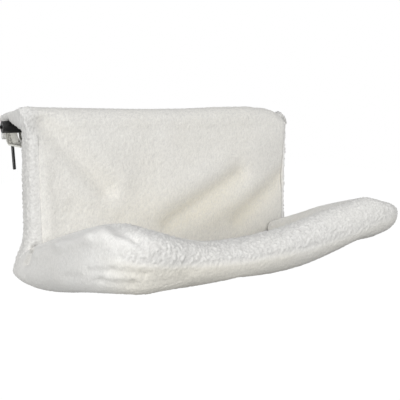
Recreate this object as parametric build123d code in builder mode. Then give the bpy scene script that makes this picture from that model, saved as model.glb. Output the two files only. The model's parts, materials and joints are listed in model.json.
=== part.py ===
from build123d import *
import os

os.makedirs("parts", exist_ok=True)

# Radiator cat hammock: a plush cover on a bent tube frame that hangs over a radiator by two hooks.
# X runs along the radiator, -Y is the room side and +Z is up. Lengths are in millimetres.
# The origin is on the radiator's top, in the middle of the hood's flat underside.

# Clearances, overruns and broken edges
seat_gap = 0.3
running_gap = 0.08
slip_gap = 0.1
overrun = 5
edge_chamfer = 0.5

# Back cover: a soft layer before and behind the frame, and a strip at each side
cover_width = 450
cover_depth = 40
front_layer = 17
front_crown = 3.5
side_strip = 6
side_bulge = 2.5
side_draw = 3
tongue_drop = 5
cover_foot_z = -176
rear_foot_z = -184
rest_depth = 40

# Frame tubes
tube_d = 16
tube_wall = 1.2
tube_inset = 25
crown_bend = 34
foot_bend = 32
foot_z = -161

# Top rail, its end plugs and the hooks' clamps
rail_d = 18
rail_wall = 1.2
rail_overhang = 12
rail_y = 10
rail_z = 28
plug_flange = 2
plug_insert = 24
plug_rib = 1.6
plug_rib_depth = 0.9
plug_rib_pitch = 5
clamp_d = 5
clamp_stub = 3
clamp_socket = 2.5
clamp_socket_depth = 3
tip_d = 3.6
tip_length = 3
tip_lip = 0.2

# Hooks
hook_d = 5
hook_inset = 31.2
hook_bend = 12
hook_reach = 69.2
hook_drop = 70
hook_lean = 9.2
hook_tip_round = 1.6
hook_nose = 4
stop_d = 8.4
stop_thick = 2
stop_teeth = 3
stop_notch = 1

# Lower cross rail
cross_d = 12
cross_z = -96

# Seat frame
seat_reach = 271
seat_rise = 76
seat_splay = 9
corner_bend = 52
dip_depth = 34.5
dip_bend = 450
joint_run = 50
swage_taper = 4
swage_length = 34
screw_d = 5
screw_head_d = 9.5
screw_head = 2.8
screw_socket = 3
screw_socket_depth = 1.6
screw_tail = 3
nut_flats = 8
nut_height = 3.2
nut_dome_r = 3.4

# Hood: plush over the top, lining beneath, closed at the rear by a hook-and-loop strip
hood_overhang = 8
hood_wall = 7
hood_rear_y = 50
hood_slope = 0.155
hood_split_z = 20
hood_front_round = 28
hood_front_inner_round = 12
hood_rear_round = 18
hood_rear_inner_round = 6
hood_rear_foot_z = 8
lining = 2.4
lining_round = 8
strip_thick = 1.15
strip_width = 14
strip_inset = 18.8
strip_lift = 1
slit_width = 8
slit_top = 5
slit_run = 28

# Seat cover: sleeves on the tube, a sling between them and an underside
sleeve_d = 47
sleeve_lead = 4
arm_step = 58
arm_past_reach = 12
sling_layer = 9
sling_edge_drop = 6
sag_rear = 19
sag_middle = 46
sag_front = 45
underside_layer = 4
underside_reach = 12
lip_depth = 36
lip_fall = 14
lip_rise = 26
underside_gap = 0.6

# Places worked out from the sizes above
half_cover = cover_width / 2
cover_back_y = -rest_depth
cover_front_y = cover_back_y - cover_depth
tube_r = tube_d / 2
frame_y = cover_front_y + front_layer + seat_gap + tube_r
rail_r = rail_d / 2
hood_width = cover_width + 2 * hood_overhang
half_rail = hood_width / 2 + rail_overhang
crown_z = rail_z + hood_slope * (rail_y - frame_y)
half_spacing = half_cover - tube_inset
hook_x = half_rail - hook_inset
hook_r = hook_d / 2
strip_x = half_cover - side_strip
rear_layer = cover_depth - front_layer - tube_d - 2 * seat_gap
front_y = frame_y - seat_reach
front_z = foot_z + seat_rise
dip_z = front_z - dip_depth

rail_end = Vector(half_spacing, rail_y, rail_z)
crown = Vector(half_spacing, frame_y, crown_z)
foot = Vector(half_spacing, frame_y, foot_z)
corner = Vector(half_spacing + seat_splay, front_y, front_z)
arm = (corner - foot).normalized()
cross = Vector(0, 0, 1).cross(arm).normalized()
joint = foot + arm * joint_run
tube_start = joint + arm * (swage_taper + seat_gap)
screw_at = joint + arm * (swage_taper + swage_length / 2)

# Share of the corner's place along X at which the seat's dip ends
dip_share = 0.383
# Share of the front layer's crown that is lost at its sides
crown_drop_share = 0.75
# Shares of the half width, and at each the heights of two folds on the front layer
fold_shares = (
    (-1, 0.10, 0.92),
    (-0.72, 0.12, 0.78),
    (-0.36, 0.16, 0.55),
    (0, 0.22, 0.60),
    (0.36, 0.40, 0.72),
    (0.72, 0.32, 0.80),
    (1, 0.52, 0.90),
)
# Arm sleeve, from its rear end forwards: reach outwards and droop below the seat's line
arm_sizes = ((47, 27), (44, 36), (41, 42), (38, 46), (35, 49), (28, 49))
# Shares of the reach and the droop at the sleeve's outer corners, and of the other corners' places
outer_shares = ((1, 0.1), (0.85, 1))
top_share = 0.5
foot_share = 0.5
outline_round_shares = (0.8, 0.5, 0.7, 0.5, 0.5, 0.4)
# Shares of the hood's half width, and at each the rise of its top as a share of its wall
crest_shares = ((-1, 0), (-0.7, 0.25), (-0.3, 0), (0.2, 0.1), (0.62, 0.45), (0.88, 0.1), (1, -0.45))


def mirrored(point):
    return Vector(-point.X, point.Y, point.Z)


def save(piece, name):
    piece.part.label = name
    export_step(piece.part, f"parts/{name}.step")


def save_pair(piece, name):
    save(piece, f"{name}_right")
    with BuildPart() as twin:
        mirror(piece.part, about=Plane.YZ)
    save(twin, f"{name}_left")


# Centre lines of the frame
def side_line():
    with BuildLine() as line:
        FilletPolyline(rail_end, crown, foot, joint, radius=[crown_bend, foot_bend])
    return line.line


def seat_line(start):
    dip = Vector(corner.X * dip_share, front_y, dip_z)
    points = [start, corner, dip, mirrored(dip), mirrored(corner), mirrored(start)]
    with BuildLine() as line:
        FilletPolyline(*points, radius=[corner_bend, dip_bend, dip_bend, corner_bend])
    return line.wire()


def rod_along(line, radius):
    with BuildPart() as rod:
        with BuildSketch(Plane(origin=line @ 0, z_dir=line % 0)):
            Circle(radius)
        sweep(path=line)
    return rod.part


# Room that the cover leaves round the tubes and the joint screws
def frame_room():
    room_r = tube_r + seat_gap
    with BuildPart() as room:
        add(rod_along(side_line(), room_r))
        with BuildSketch(Plane(origin=screw_at, z_dir=cross)):
            Circle(screw_head_d / 2 + seat_gap)
        extrude(amount=tube_r + screw_head + overrun, both=True)
        mirror(about=Plane.YZ)
        add(rod_along(seat_line(joint), room_r))
    return room.part


# Top rail: a round tube with two cross holes for the hooks
with BuildPart() as top_rail:
    with BuildSketch(Plane.YZ):
        with Locations((rail_y, rail_z)):
            Circle(rail_r)
            Circle(rail_r - rail_wall, mode=Mode.SUBTRACT)
    extrude(amount=half_rail - plug_flange, both=True)
    with BuildSketch(Plane.XZ.offset(-rail_y)):
        with Locations((-hook_x, rail_z), (hook_x, rail_z)):
            Circle(hook_r + running_gap)
    extrude(amount=rail_d, both=True, mode=Mode.SUBTRACT)
save(top_rail, "top_rail")

# End plug: a flange on a ribbed insert, threaded through for the clamp screw
plug_plane = Plane(origin=(half_rail, rail_y, rail_z), x_dir=(0, 1, 0), z_dir=(-1, 0, 0))
plug_r = rail_r - rail_wall - slip_gap / 2
with BuildPart() as rail_plug:
    with BuildSketch(plug_plane):
        Circle(rail_r)
    extrude(amount=plug_flange)
    chamfer(rail_plug.edges().sort_by(Axis.X)[-1], edge_chamfer)
    with BuildSketch(plug_plane.offset(plug_flange)):
        Circle(plug_r - plug_rib_depth)
    extrude(amount=plug_insert)
    for step in range(int(plug_insert / plug_rib_pitch)):
        with BuildSketch(plug_plane.offset(plug_flange + plug_rib_pitch * (step + 1) - plug_rib)):
            Circle(plug_r)
        extrude(amount=plug_rib)
    with BuildSketch(plug_plane):
        Circle(clamp_d / 2 + running_gap)
    extrude(amount=plug_flange + plug_insert, mode=Mode.SUBTRACT)
save_pair(rail_plug, "rail_plug")

# Clamp screw: headless, with a hexagon socket, and a soft tip that bears on the hook
tip_face_x = hook_x + hook_r + running_gap
clamp_inner_x = tip_face_x + tip_length
clamp_length = half_rail + clamp_stub - clamp_inner_x
clamp_plane = Plane(origin=(clamp_inner_x, rail_y, rail_z), x_dir=(0, 1, 0), z_dir=(1, 0, 0))
with BuildPart() as clamp_screw:
    with BuildSketch(clamp_plane):
        Circle(clamp_d / 2)
    extrude(amount=clamp_length)
    chamfer(clamp_screw.edges().filter_by(GeomType.CIRCLE), edge_chamfer)
    with BuildSketch(clamp_plane.offset(clamp_length)):
        RegularPolygon(clamp_socket / 2, 6, major_radius=False)
    extrude(amount=-clamp_socket_depth, mode=Mode.SUBTRACT)
save_pair(clamp_screw, "clamp_screw")

with BuildPart() as clamp_tip:
    with BuildSketch(Plane(origin=(tip_face_x, rail_y, rail_z), x_dir=(0, 1, 0), z_dir=(1, 0, 0))):
        Circle(tip_d / 2)
    extrude(amount=tip_length)
    chamfer(clamp_tip.edges().sort_by(Axis.X)[0], tip_lip)
save_pair(clamp_tip, "clamp_tip")

# Hook: a rod through the rail, bent down behind the radiator and leaning in at its tip
rail_front_y = rail_y - rail_r
stop_y = rail_front_y - seat_gap
hook_front_y = stop_y - stop_thick - hook_nose
with BuildPart() as hook:
    with BuildLine() as hook_line:
        FilletPolyline(
            (hook_x, hook_front_y, rail_z),
            (hook_x, rail_y + hook_reach, rail_z),
            (hook_x, rail_y + hook_reach - hook_lean, rail_z - hook_drop),
            radius=hook_bend,
        )
    with BuildSketch(Plane(origin=hook_line.line @ 0, z_dir=hook_line.line % 0)):
        Circle(hook_r)
    sweep()
    fillet(hook.edges().filter_by(GeomType.CIRCLE).sort_by(Axis.Z)[0], hook_tip_round)
    chamfer(hook.edges().filter_by(GeomType.CIRCLE).sort_by(Axis.Y)[0], edge_chamfer)
save_pair(hook, "hook")

# Stop ring: pushed on the hook's front end, with notches between its teeth
with BuildPart() as hook_stop:
    with BuildSketch(Plane.XZ.offset(-stop_y)):
        with Locations((hook_x, rail_z)):
            Circle(stop_d / 2)
            Circle(hook_r, mode=Mode.SUBTRACT)
            with PolarLocations(hook_r, stop_teeth):
                Rectangle(stop_notch, stop_notch, mode=Mode.SUBTRACT)
    extrude(amount=stop_thick)
save_pair(hook_stop, "hook_stop")

# Side tube: from the rail over the radiator's edge, down the back and out to the seat's joint
with BuildPart() as side_tube:
    side_path = side_line()
    with BuildSketch(Plane(origin=side_path @ 0, z_dir=side_path % 0)):
        Circle(tube_r)
        Circle(tube_r - tube_wall, mode=Mode.SUBTRACT)
    sweep(path=side_path)
    with BuildSketch(Plane.YZ):
        with Locations((rail_y, rail_z)):
            Circle(rail_r)
    extrude(amount=half_rail, mode=Mode.SUBTRACT)
    swage_r = tube_r - tube_wall - slip_gap
    swage_bore = swage_r - tube_wall
    with BuildSketch(Plane(origin=joint, x_dir=arm, z_dir=cross)):
        with BuildLine():
            Polyline(
                (0, swage_bore),
                (0, tube_r),
                (swage_taper, swage_r),
                (swage_taper + swage_length, swage_r),
                (swage_taper + swage_length, swage_bore),
                close=True,
            )
        make_face()
    revolve(axis=Axis(joint, arm))
    with BuildSketch(Plane(origin=screw_at, z_dir=cross)):
        Circle(screw_d / 2 + slip_gap)
    extrude(amount=tube_d, both=True, mode=Mode.SUBTRACT)
save_pair(side_tube, "side_tube")

# Lower cross rail: its ends are coped to the side tubes
with BuildPart() as lower_rail:
    with BuildSketch(Plane.YZ):
        with Locations((frame_y, cross_z)):
            Circle(cross_d / 2)
            Circle(cross_d / 2 - tube_wall, mode=Mode.SUBTRACT)
    extrude(amount=half_spacing, both=True)
    with BuildSketch(Plane.XY.offset(cross_z)):
        with Locations((half_spacing, frame_y), (-half_spacing, frame_y)):
            Circle(tube_r)
    extrude(amount=tube_d, both=True, mode=Mode.SUBTRACT)
save(lower_rail, "lower_rail")

# Seat frame: one bent tube with a dipped front, slipped over the swaged ends
with BuildPart() as seat_frame:
    seat_path = seat_line(tube_start)
    with BuildSketch(Plane(origin=seat_path @ 0, z_dir=seat_path % 0)):
        Circle(tube_r)
        Circle(tube_r - tube_wall, mode=Mode.SUBTRACT)
    sweep(path=seat_path)
    for place, way in ((screw_at, cross), (mirrored(screw_at), mirrored(cross))):
        with BuildSketch(Plane(origin=place, z_dir=way)):
            Circle(screw_d / 2 + slip_gap)
        extrude(amount=tube_d, both=True, mode=Mode.SUBTRACT)
save(seat_frame, "seat_frame")

# Joint screws: button heads outside, with hexagon sockets
head_plane = Plane(origin=screw_at + cross * tube_r, z_dir=cross)
with BuildPart() as joint_screws:
    with BuildSketch(head_plane):
        Circle(screw_head_d / 2)
    extrude(amount=screw_head)
    fillet(joint_screws.edges().filter_by(GeomType.CIRCLE).sort_by(Axis.X)[-1], screw_head / 2)
    with BuildSketch(head_plane):
        Circle(screw_d / 2)
    extrude(amount=-(tube_d + screw_tail))
    with BuildSketch(head_plane.offset(screw_head)):
        RegularPolygon(screw_socket / 2, 6, major_radius=False)
    extrude(amount=-screw_socket_depth, mode=Mode.SUBTRACT)
    mirror(about=Plane.YZ)
save(joint_screws, "joint_screws")

# Cap nuts on the screws' inner ends
with BuildPart() as joint_nuts:
    with BuildSketch(head_plane.offset(-tube_d)):
        RegularPolygon(nut_flats / 2, 6, major_radius=False)
    extrude(amount=-nut_height)
    with BuildSketch(head_plane.offset(-tube_d - nut_height)):
        Circle(nut_dome_r)
    extrude(amount=-(screw_tail - nut_height + nut_dome_r / 2))
    with BuildSketch(head_plane.offset(-tube_d)):
        Circle(screw_d / 2 + running_gap)
    extrude(amount=-(screw_tail + running_gap), mode=Mode.SUBTRACT)
    mirror(about=Plane.YZ)
save(joint_nuts, "joint_nuts")

# Hood: its inner side lies on the rail, and its top rises and falls a little along the width
def hood_inner_z(y):
    lift = (rail_r + seat_gap) * Vector(1, hood_slope).length
    return rail_z + lift - hood_slope * (y - rail_y)


def hood_section(share, rise_share):
    inner_front_y = cover_front_y + front_layer
    inner_rear_y = hood_rear_y - hood_wall
    lift = hood_wall * (1 + rise_share)
    outline = (
        (cover_front_y, hood_split_z),
        (cover_front_y, hood_inner_z(cover_front_y) + lift),
        (hood_rear_y, hood_inner_z(hood_rear_y) + lift),
        (hood_rear_y, hood_rear_foot_z),
        (inner_rear_y, hood_rear_foot_z),
        (inner_rear_y, hood_inner_z(inner_rear_y)),
        (inner_front_y, hood_inner_z(inner_front_y)),
        (inner_front_y, hood_split_z),
    )
    rounds = [0, hood_front_round, hood_rear_round, 0, 0, hood_rear_inner_round, hood_front_inner_round, 0]
    with BuildSketch(Plane.YZ.offset(share * hood_width / 2)) as section:
        with BuildLine():
            FilletPolyline(*outline, radius=rounds, close=True)
        make_face()
    return section.sketch


def hook_slits(foot_z, depth):
    with BuildPart() as slits:
        with BuildSketch(Plane.XY.offset(foot_z)):
            with Locations((-hook_x, hood_rear_y), (hook_x, hood_rear_y)):
                Rectangle(slit_width, 2 * depth)
        extrude(amount=rail_z + slit_top - foot_z)
    return slits.part


with BuildPart() as hood:
    loft(sections=[hood_section(share, rise_share) for share, rise_share in crest_shares])
    add(hook_slits(hood_rear_foot_z - overrun, hood_wall + hood_rear_inner_round), mode=Mode.SUBTRACT)
save(hood, "hood")

# Hood lining: flat on the radiator, turned up behind the rail
lining_rear_y = hood_rear_y - hood_wall - 2 * strip_thick
strip_foot_z = lining_round + strip_lift
strip_top_z = strip_foot_z + strip_width
lining_front_y = cover_back_y + seat_gap
with BuildPart() as hood_lining:
    inner_y = lining_rear_y - lining
    outline = (
        (lining_front_y, 0),
        (lining_rear_y, 0),
        (lining_rear_y, strip_top_z),
        (inner_y, strip_top_z),
        (inner_y, lining),
        (lining_front_y, lining),
    )
    with BuildSketch(Plane.YZ):
        with BuildLine():
            FilletPolyline(*outline, radius=[0, lining_round, 0, 0, lining_round - lining, 0], close=True)
        make_face()
    extrude(amount=hood_width / 2 - side_bulge, both=True)
    add(hook_slits(-overrun, slit_run), mode=Mode.SUBTRACT)
save(hood_lining, "hood_lining")

# Hook-and-loop strips that close the lining to the hood's rear edge
def closure_strip(y):
    with BuildPart() as strip:
        with BuildSketch(Plane.XZ.offset(-y)):
            with Locations((0, (strip_foot_z + strip_top_z) / 2)):
                RectangleRounded(2 * (hook_x - strip_inset), strip_width, strip_lift)
        extrude(amount=-strip_thick)
    return strip


save(closure_strip(lining_rear_y), "closure_hook_strip")
save(closure_strip(lining_rear_y + strip_thick), "closure_loop_strip")

# Back cover's front layer: a crowned pad, drawn in at its sides, with two slanting folds
def front_section(share, low_fold, high_fold):
    top_z = hood_split_z - seat_gap
    drawn = side_draw * share * share
    face_y = cover_front_y + drawn
    heights = [cover_foot_z + s * (top_z - cover_foot_z) for s in (0, low_fold, high_fold, 1)]
    with BuildSketch(Plane.YZ.offset(share * (strip_x - seat_gap))) as section:
        with BuildLine():
            for low, high in zip(heights, heights[1:]):
                crown_y = face_y - front_crown * (1 - crown_drop_share * share * share)
                ThreePointArc((face_y, low), (crown_y, (low + high) / 2), (face_y, high))
            Polyline(
                (face_y, top_z),
                (cover_front_y + front_layer, top_z),
                (cover_front_y + front_layer, cover_foot_z),
                (face_y, cover_foot_z),
            )
        make_face()
    return section.sketch


with BuildPart() as back_front:
    loft(sections=[front_section(*shares) for shares in fold_shares])
    add(frame_room(), mode=Mode.SUBTRACT)
save(back_front, "back_front_layer")

# Back cover's rear layer: flat against the radiator
with BuildPart() as back_rear:
    with BuildSketch(Plane.XZ.offset(-cover_back_y)):
        with Locations((0, (rear_foot_z - seat_gap) / 2)):
            Rectangle(2 * (strip_x - seat_gap), -seat_gap - rear_foot_z)
    extrude(amount=rear_layer)
save(back_rear, "back_rear_layer")

# Side strip: bulged outwards, with a flat tongue that closes the hood's end above it
with BuildPart() as side_cover:
    with BuildSketch(Plane.XY.offset(cover_foot_z)):
        with BuildLine():
            Polyline(
                (half_cover, cover_back_y),
                (strip_x, cover_back_y),
                (strip_x, cover_front_y),
                (half_cover, cover_front_y),
            )
            ThreePointArc(
                (half_cover, cover_front_y),
                (half_cover + side_bulge, (cover_front_y + cover_back_y) / 2),
                (half_cover, cover_back_y),
            )
        make_face()
    extrude(amount=hood_split_z - seat_gap - cover_foot_z)
    tongue_front_y = cover_front_y + front_layer + seat_gap
    with BuildSketch(Plane.YZ.offset(strip_x)):
        with BuildLine():
            Polyline(
                (cover_back_y, hood_split_z - seat_gap),
                (tongue_front_y, hood_split_z - seat_gap),
                (tongue_front_y, hood_inner_z(tongue_front_y) - hood_front_inner_round - seat_gap),
                (tongue_front_y + hood_front_inner_round, hood_inner_z(tongue_front_y) - tongue_drop),
                (cover_back_y, hood_inner_z(cover_back_y) - seat_gap),
                close=True,
            )
        make_face()
    extrude(amount=side_strip)
save_pair(side_cover, "side_strip")


# Arm sleeve: round over the tube, drawn out and down at its outer side, and round the cover's side
sleeve_r = sleeve_d / 2
sleeve_start = foot - arm * sleeve_lead
seat_rear_y = cover_front_y - front_crown - seat_gap


# Runs of the arm sleeve's sections along the seat's line: even steps, and the last one at its front end
arm_runs = [arm_step * index for index in range(len(arm_sizes) - 1)] + [seat_reach + arm_past_reach]
arm_places = [(run, reach, droop) for run, (reach, droop) in zip(arm_runs, arm_sizes)]


def arm_section(run, reach, droop, grow):
    line = seat_line(sleeve_start)
    place = line.position_at(run, position_mode=PositionMode.LENGTH)
    way = line.tangent_at(run, position_mode=PositionMode.LENGTH)
    out = Vector(0, 0, 1).cross(way).normalized()
    radius = sleeve_r + grow
    outline = [(-radius, radius)]
    for reach_share, droop_share in outer_shares:
        outline.append(((reach + grow) * reach_share, -(droop + grow) * droop_share))
    outline.insert(1, (outline[1][0] * top_share, radius))
    outline += [(-radius * foot_share, -(droop + grow)), (-radius, -radius * foot_share)]
    with BuildSketch(Plane(origin=place, x_dir=out, z_dir=way)) as section:
        with BuildLine():
            FilletPolyline(*outline, radius=[sleeve_r * s for s in outline_round_shares], close=True)
        make_face()
    return section.sketch


def arm_sleeve(grow):
    with BuildPart() as sleeve:
        stations = [list(place) for place in arm_places]
        stations[-1][0] += grow
        loft(sections=[arm_section(*place, grow) for place in stations])
        with BuildSketch(Plane.XY.offset(rear_foot_z - overrun)):
            with Locations((half_cover + side_bulge + seat_gap, seat_rear_y)):
                Rectangle(cover_width, cover_width, align=(Align.MAX, Align.MIN))
        extrude(amount=front_z - rear_foot_z, mode=Mode.SUBTRACT)
    return sleeve.part


with BuildPart() as sleeve_arm:
    add(arm_sleeve(0))
    add(frame_room(), mode=Mode.SUBTRACT)
save_pair(sleeve_arm, "seat_arm_sleeve")

# Front sleeve: a round one over the dipped tube, between the arms' ends
def front_sleeve(grow):
    line = seat_line(sleeve_start)
    start = (arm_places[-1][0] + seat_gap - grow) / line.length
    return rod_along(line.trim(start, 1 - start), sleeve_r + grow)


with BuildPart() as sleeve_front:
    add(front_sleeve(0))
    add(frame_room(), mode=Mode.SUBTRACT)
save(sleeve_front, "seat_front_sleeve")


# Room that the sling and the underside leave round the sleeves
def sleeve_room():
    with BuildPart() as room:
        add(arm_sleeve(seat_gap))
        mirror(about=Plane.YZ)
        add(front_sleeve(seat_gap))
    return room.part


# A sagging sheet between the arms: at each place its edge and its middle have their own heights
def sag_section(y, edge_x, edge_z, middle_z, layer):
    with BuildSketch(Plane.XZ.offset(-y)) as section:
        with BuildLine():
            ThreePointArc((-edge_x, edge_z), (0, middle_z), (edge_x, edge_z))
            Line((edge_x, edge_z), (edge_x, edge_z - layer))
            ThreePointArc((edge_x, edge_z - layer), (0, middle_z - layer), (-edge_x, edge_z - layer))
            Line((-edge_x, edge_z - layer), (-edge_x, edge_z))
        make_face()
    return section.sketch


# Room inside the seat frame's centre line, seen from above, with its front moved out a little
def seat_plan(rear_y, front_reach):
    plan_y = front_y - front_reach
    with BuildPart() as plan:
        with BuildSketch(Plane.XY.offset(rear_foot_z - overrun)):
            with BuildLine():
                FilletPolyline(
                    (-half_cover, rear_y),
                    (-corner.X, plan_y),
                    (corner.X, plan_y),
                    (half_cover, rear_y),
                    radius=[0, corner_bend, corner_bend, 0],
                    close=True,
                )
            make_face()
        extrude(amount=front_z - rear_foot_z)
    return plan.part


seat_middle_y = (seat_rear_y + front_y) / 2
sags = ((seat_rear_y, sag_rear), (seat_middle_y, sag_middle), (front_y, sag_front))


def arm_at(y):
    return foot + arm * ((y - frame_y) / arm.Y)


def droop_at(y):
    run = (y - sleeve_start.Y) / arm.Y
    for (low, _, first), (high, _, last) in zip(arm_places, arm_places[1:]):
        if low <= run <= high:
            return first + (last - first) * (run - low) / (high - low)


with BuildPart() as sling:
    sections = []
    for y, sag in sags:
        place = arm_at(y)
        sections.append(sag_section(y, place.X, place.Z - sling_edge_drop, place.Z - sag, sling_layer))
    loft(sections=sections)
    add(seat_plan(seat_rear_y, 0), mode=Mode.INTERSECT)
    add(sleeve_room(), mode=Mode.SUBTRACT)
    add(frame_room(), mode=Mode.SUBTRACT)
save(sling, "seat_sling")

# Underside: from the back cover's foot, below the sling and the arms, and thick where it meets the front
with BuildPart() as underside:
    rear_y = cover_back_y - rear_layer - seat_gap
    rear_z = cover_foot_z - seat_gap
    sections = [sag_section(rear_y, strip_x, rear_z, rear_z - underside_gap, underside_layer)]
    for y, sag in sags[:-1]:
        place = arm_at(y)
        edge_z = place.Z - droop_at(y) - seat_gap
        middle_z = place.Z - sag - sling_layer - underside_gap
        sections.append(sag_section(y, place.X, edge_z, middle_z, underside_layer))
    lip = arm_at(front_y + lip_depth)
    lip_z = dip_z - sleeve_r - seat_gap
    sections.append(
        sag_section(lip.Y, lip.X, lip.Z - droop_at(lip.Y) - seat_gap, lip_z - lip_fall, underside_layer)
    )
    front_edge_z = front_z - arm_places[-1][2] - seat_gap + lip_rise
    front_layers = lip_rise + underside_layer
    sections.append(
        sag_section(front_y - underside_reach, corner.X, front_edge_z, lip_z + lip_rise, front_layers)
    )
    loft(sections=sections)
    add(seat_plan(rear_y, underside_reach), mode=Mode.INTERSECT)
    add(sleeve_room(), mode=Mode.SUBTRACT)
    with Locations((0, 0, 0), (0, 0, -seat_gap)):
        add(sling.part, mode=Mode.SUBTRACT)
save(underside, "seat_underside")
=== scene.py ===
import json
from math import cos, pi, radians, sin

import bmesh
import bpy
import numpy as np
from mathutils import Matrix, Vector, noise


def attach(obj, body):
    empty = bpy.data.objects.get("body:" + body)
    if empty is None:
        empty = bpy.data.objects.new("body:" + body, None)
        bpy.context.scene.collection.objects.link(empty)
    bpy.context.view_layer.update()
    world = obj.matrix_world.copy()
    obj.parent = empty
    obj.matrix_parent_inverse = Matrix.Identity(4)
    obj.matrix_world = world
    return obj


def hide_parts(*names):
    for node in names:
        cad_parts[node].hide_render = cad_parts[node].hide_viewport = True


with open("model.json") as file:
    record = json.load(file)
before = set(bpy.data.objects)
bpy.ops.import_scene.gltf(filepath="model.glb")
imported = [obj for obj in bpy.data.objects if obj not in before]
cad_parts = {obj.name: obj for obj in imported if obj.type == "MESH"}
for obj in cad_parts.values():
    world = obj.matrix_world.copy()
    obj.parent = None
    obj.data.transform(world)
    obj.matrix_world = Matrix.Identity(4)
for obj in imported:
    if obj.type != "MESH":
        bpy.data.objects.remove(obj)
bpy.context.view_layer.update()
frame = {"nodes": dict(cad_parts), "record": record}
scene = bpy.context.scene
mm = 0.001
noise.seed_set(1)  # without a seed, noise_vector takes its offsets from the clock
print("frame loaded")


# The photograph's camera, and the plane that its view of the seat's front is drawn on
view = {"place": (-0.4604, -0.8874, 0.0559), "azimuth": -32, "pitch": 8.887, "focal": 588.6, "image": 400,
        "sensor": 36, "plane": -345}


# Meshes: a shape starts in a bmesh, in millimetres, and becomes a piece in metres
def pieceFrom(bm, name, replaced, body="frame"):
    bmesh.ops.remove_doubles(bm, verts=bm.verts, dist=0.01)
    bmesh.ops.holes_fill(bm, edges=[edge for edge in bm.edges if edge.is_boundary])
    bmesh.ops.recalc_face_normals(bm, faces=bm.faces)
    bmesh.ops.scale(bm, vec=(mm, mm, mm), verts=bm.verts)
    mesh = bpy.data.meshes.new(name)
    bm.to_mesh(mesh)
    bm.free()
    piece = bpy.data.objects.new(name, mesh)
    scene.collection.objects.link(piece)
    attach(piece, body)
    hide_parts(*replaced)
    return piece


def meshPoints(mesh, what="co"):
    flat = np.zeros(len(mesh.vertices) * 3, np.float32)
    mesh.vertices.foreach_get(what, flat)
    return flat.reshape(-1, 3).astype(float)


def readPoints(piece, what="co"):
    return meshPoints(piece.data, what)


def writePoints(piece, points):
    piece.data.vertices.foreach_set("co", points.astype(np.float32).ravel())
    piece.data.update()


def applied(piece, kind, **settings):
    modifier = piece.modifiers.new(kind.lower(), kind)
    for key, value in settings.items():
        setattr(modifier, key, value)
    graph = bpy.context.evaluated_depsgraph_get()
    made = bpy.data.meshes.new_from_object(piece.evaluated_get(graph))
    piece.modifiers.clear()
    old, piece.data = piece.data, made
    bpy.data.meshes.remove(old)
    made.name = piece.name
    return piece


def remeshed(piece, size, rounds):
    applied(piece, "REMESH", mode="VOXEL", voxel_size=size * mm)
    return applied(piece, "SMOOTH", factor=0.5, iterations=rounds)


# A smooth step from 0 at low to 1 at high
def ramp(low, high, x):
    t = np.clip((x - low) / (high - low), 0, 1)
    return t * t * (3 - 2 * t)


# A smooth curve through rows of values, at a share t of its run
def curveThrough(rows, t):
    rows = np.array(rows, float)
    last = len(rows) - 1
    at = t * last
    i = min(int(at), last - 1)
    f = at - i
    a, b = rows[max(i - 1, 0)], rows[i]
    c, d = rows[i + 1], rows[min(i + 2, last)]
    return b + 0.5 * f * (c - a + f * (2 * a - 5 * b + 4 * c - d + f * (3 * (b - c) + d - a)))


clothSteps = 20


# Cloth pressure swells a padded piece; held is how firmly each point keeps its place, and cap its longest way
def puffed(piece, held, pressure, cap):
    start = readPoints(piece)
    group = piece.vertex_groups.new(name="held")
    for index, weight in enumerate(held(start / mm)):
        group.add([index], float(weight), "REPLACE")
    cloth = piece.modifiers.new("cloth", "CLOTH")
    cloth.settings.use_pressure = True
    cloth.settings.uniform_pressure_force = pressure
    cloth.settings.vertex_group_mass = "held"
    cloth.settings.effector_weights.gravity = 0
    cloth.point_cache.frame_end = clothSteps
    for step in range(1, clothSteps + 1):
        scene.frame_set(step)
    graph = bpy.context.evaluated_depsgraph_get()
    moved = bpy.data.meshes.new_from_object(piece.evaluated_get(graph))
    shift = meshPoints(moved) - start
    bpy.data.meshes.remove(moved)
    piece.modifiers.clear()
    piece.vertex_groups.clear()
    scene.frame_set(1)
    length = np.linalg.norm(shift, axis=1, keepdims=True) + 1e-9
    writePoints(piece, start + shift * np.minimum(1, cap * mm / length))
    return piece


def keepValues(piece, name, values):
    attribute = piece.data.attributes.new(name, "FLOAT", "POINT")
    attribute.data.foreach_set("value", np.asarray(values, np.float32))


def evenly(value):
    return lambda points: np.full(len(points), value)


curlNoise = {"warp": 0.45, "strand": 2.3, "offset": (4.1, 1.7, 8.3)}


# Curls of the pile: clumps with creases between them, kept in "pile", whose low values paint shade into the
# creases; a second attribute paints shade as a warm tint
def growCurls(piece, curl, strength, shadeTint):
    points = readPoints(piece)
    normals = readPoints(piece, "normal")
    size, lean = curl["size"] * mm, curl["lean"]
    heights = np.zeros(len(points))
    for i, point in enumerate(points):
        q = Vector(point) / size
        q += noise.noise_vector(q * curlNoise["warp"]) * lean
        near = noise.voronoi(q)[0]
        strand = noise.noise(q * curlNoise["strand"] + Vector(curlNoise["offset"]))
        heights[i] = min(1.0, (near[1] - near[0]) * curl["crease"]) + curl["strand"] * strand
    share = strength(points / mm)
    shift = (heights - curl["middle"]) * curl["height"] * mm * share
    writePoints(piece, points + normals * shift[:, None])
    keepValues(piece, "pile", 1 + (heights - 1) * np.clip(share, 0, 1))
    keepValues(piece, "warmShade", shadeTint(points / mm))
    piece.data.polygons.foreach_set("use_smooth", [True] * len(piece.data.polygons))
    return piece


# Move a piece's points in millimetres; move takes the points and their normals
def sculpted(piece, move):
    points = readPoints(piece) / mm
    writePoints(piece, move(points, readPoints(piece, "normal")) * mm)
    return piece


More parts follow.
